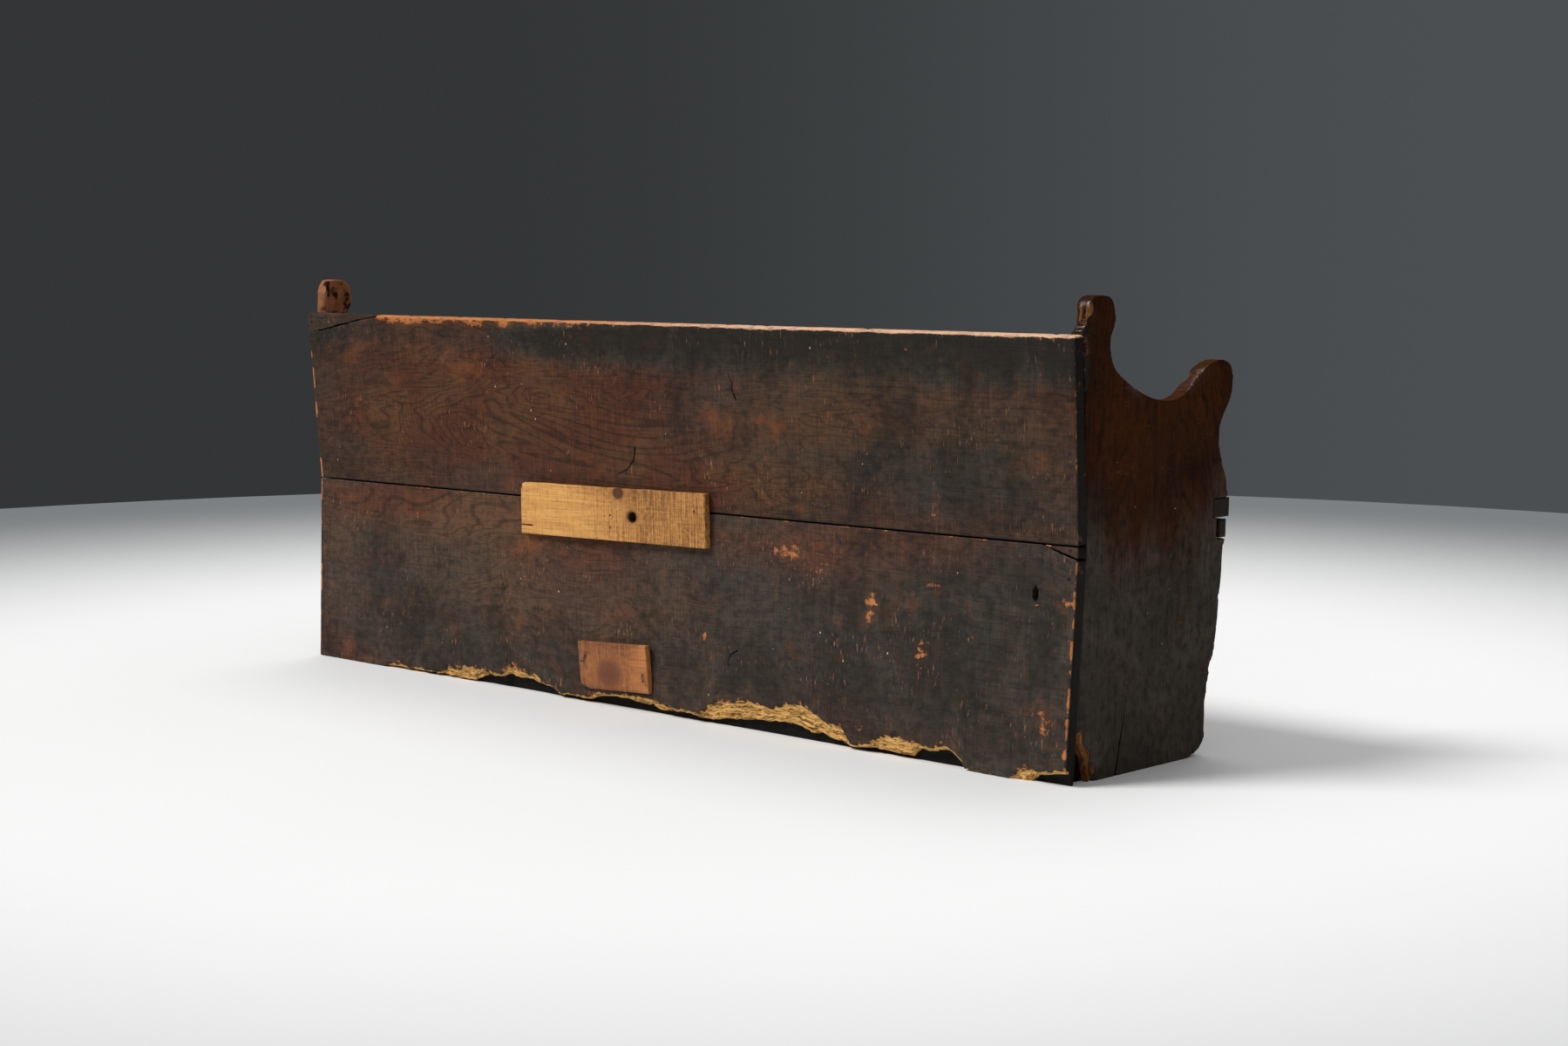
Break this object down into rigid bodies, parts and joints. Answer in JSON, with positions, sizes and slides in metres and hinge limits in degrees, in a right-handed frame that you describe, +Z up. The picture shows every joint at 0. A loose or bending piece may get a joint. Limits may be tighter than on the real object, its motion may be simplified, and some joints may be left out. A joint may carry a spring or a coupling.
{
  "type": "wooden bench",
  "caption": "Long rustic wooden bench with a two-board back that reaches the floor, shaped end panels with swooping arms and knobs, and a nailed plank seat.",
  "frame": {"origin": "on the floor under the middle of the bench's box", "axes": "+X to the right of someone who stands in front of the bench, +Y to its back, +Z up"},
  "size_m": [2.0284, 0.4616, 0.7978],
  "materials": {
    "aged_wood": "very dark aged board, worn to bare wood on its edges",
    "seat_wood": "dark aged plank, polished by use",
    "bearer_wood": "rough sawn, dusty, unfinished",
    "pine": "pale sawn softwood with a knot, darker at one end",
    "red_pine": "reddish sawn softwood with a large knot",
    "forged_iron": "forged and rusted dark",
    "wire": "dull wire nail"
  },
  "bodies": {
    "root": {"left_end_panel": "aged_wood", "right_end_panel": "aged_wood", "upper_back_board": "aged_wood", "lower_back_board": "aged_wood", "corner_patch": "aged_wood", "seam_sliver": "aged_wood", "seam_cleat": "pine", "bottom_block": "red_pine", "front_seat_board": "seat_wood", "rear_seat_board": "seat_wood", "front_apron": "seat_wood", "left_seat_bearer": "bearer_wood", "right_seat_bearer": "bearer_wood", "rear_seat_ledger": "bearer_wood", "seat_batten": "bearer_wood", "upper_board_nails": "forged_iron", "lower_board_nails": "forged_iron", "patch_nail": "forged_iron", "sliver_nail": "forged_iron", "seat_nails": "forged_iron", "bearer_nails": "forged_iron", "ledger_nails": "forged_iron", "cleat_nails": "wire", "block_nails": "wire"}
  },
  "joints": []
}
